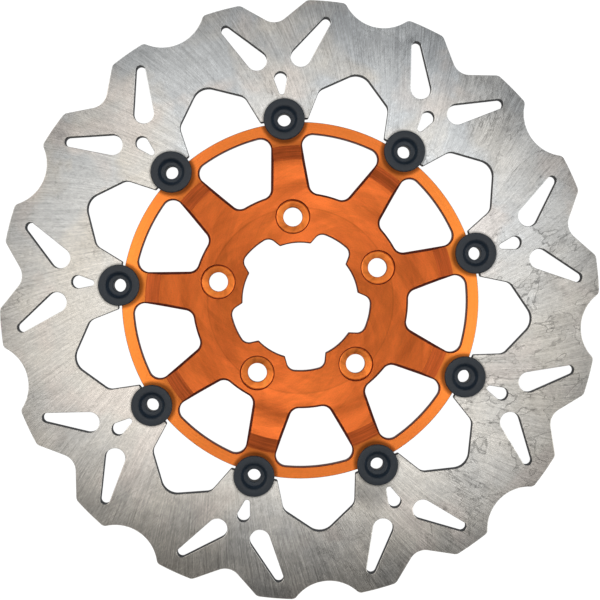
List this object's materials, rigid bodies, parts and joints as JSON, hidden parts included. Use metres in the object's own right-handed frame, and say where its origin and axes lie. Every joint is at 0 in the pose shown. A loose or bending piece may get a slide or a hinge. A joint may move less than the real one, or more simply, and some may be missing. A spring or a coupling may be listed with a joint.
{
  "type": "brake disc rotor",
  "caption": "Floating wave brake rotor: a scalloped, slotted steel ring held by flanged bobbins on an orange spoked aluminium carrier with a bolt circle and a lobed pilot bore.",
  "frame": {"origin": "centre of the bolt circle on the carrier's mounting face, on the spin axis", "axes": "+Z along the spin axis, out of the wheel towards the visible outer face with the bobbin flanges; +Y through one bolt hole and the bobbin outside it, on the mirror plane; +X completes the right-handed frame"},
  "size_m": [0.292, 0.29, 0.0106],
  "materials": {
    "ring_steel": "ground stainless, fine radial grinding lines",
    "orange_anodised": "bright orange anodise over turned and milled faces",
    "black_anodised": "hard black anodise, satin",
    "washer_steel": "stamped stainless, satin",
    "spring_steel": "hardened spring steel",
    "clip_steel": "phosphated spring steel"
  },
  "bodies": {
    "carrier": {"carrier": "orange_anodised"},
    "disc": {"brake_ring": "ring_steel"},
    "bobbin_1": {"bobbin_1": "black_anodised", "flat_washer_1": "washer_steel", "wave_washer_1": "spring_steel", "circlip_1": "clip_steel"},
    "bobbin_2": {"bobbin_2": "black_anodised", "flat_washer_2": "washer_steel", "wave_washer_2": "spring_steel", "circlip_2": "clip_steel"},
    "bobbin_3": {"bobbin_3": "black_anodised", "flat_washer_3": "washer_steel", "wave_washer_3": "spring_steel", "circlip_3": "clip_steel"},
    "bobbin_4": {"bobbin_4": "black_anodised", "flat_washer_4": "washer_steel", "wave_washer_4": "spring_steel", "circlip_4": "clip_steel"},
    "bobbin_5": {"bobbin_5": "black_anodised", "flat_washer_5": "washer_steel", "wave_washer_5": "spring_steel", "circlip_5": "clip_steel"},
    "bobbin_6": {"bobbin_6": "black_anodised", "flat_washer_6": "washer_steel", "wave_washer_6": "spring_steel", "circlip_6": "clip_steel"},
    "bobbin_7": {"bobbin_7": "black_anodised", "flat_washer_7": "washer_steel", "wave_washer_7": "spring_steel", "circlip_7": "clip_steel"},
    "bobbin_8": {"bobbin_8": "black_anodised", "flat_washer_8": "washer_steel", "wave_washer_8": "spring_steel", "circlip_8": "clip_steel"},
    "bobbin_9": {"bobbin_9": "black_anodised", "flat_washer_9": "washer_steel", "wave_washer_9": "spring_steel", "circlip_9": "clip_steel"}
  },
  "joints": [
    {"name": "disc_float", "type": "slide", "parent": "carrier", "child": "disc", "axis": [0, 0, 1], "range_m": [-0.00012, 0.00012], "stiffness_N_per_m": 200000},
    {"name": "bobbin_1_turn", "type": "hinge", "parent": "carrier", "child": "bobbin_1", "pos_m": [0, 0.0885, 0.006], "axis": [0, 0, 1], "continuous": true},
    {"name": "bobbin_2_turn", "type": "hinge", "parent": "carrier", "child": "bobbin_2", "pos_m": [-0.05689, 0.06779, 0.006], "axis": [0, 0, 1], "continuous": true},
    {"name": "bobbin_3_turn", "type": "hinge", "parent": "carrier", "child": "bobbin_3", "pos_m": [-0.08716, 0.01537, 0.006], "axis": [0, 0, 1], "continuous": true},
    {"name": "bobbin_4_turn", "type": "hinge", "parent": "carrier", "child": "bobbin_4", "pos_m": [-0.07664, -0.04425, 0.006], "axis": [0, 0, 1], "continuous": true},
    {"name": "bobbin_5_turn", "type": "hinge", "parent": "carrier", "child": "bobbin_5", "pos_m": [-0.03027, -0.08316, 0.006], "axis": [0, 0, 1], "continuous": true},
    {"name": "bobbin_6_turn", "type": "hinge", "parent": "carrier", "child": "bobbin_6", "pos_m": [0.03027, -0.08316, 0.006], "axis": [0, 0, 1], "continuous": true},
    {"name": "bobbin_7_turn", "type": "hinge", "parent": "carrier", "child": "bobbin_7", "pos_m": [0.07664, -0.04425, 0.006], "axis": [0, 0, 1], "continuous": true},
    {"name": "bobbin_8_turn", "type": "hinge", "parent": "carrier", "child": "bobbin_8", "pos_m": [0.08716, 0.01537, 0.006], "axis": [0, 0, 1], "continuous": true},
    {"name": "bobbin_9_turn", "type": "hinge", "parent": "carrier", "child": "bobbin_9", "pos_m": [0.05689, 0.06779, 0.006], "axis": [0, 0, 1], "continuous": true}
  ]
}
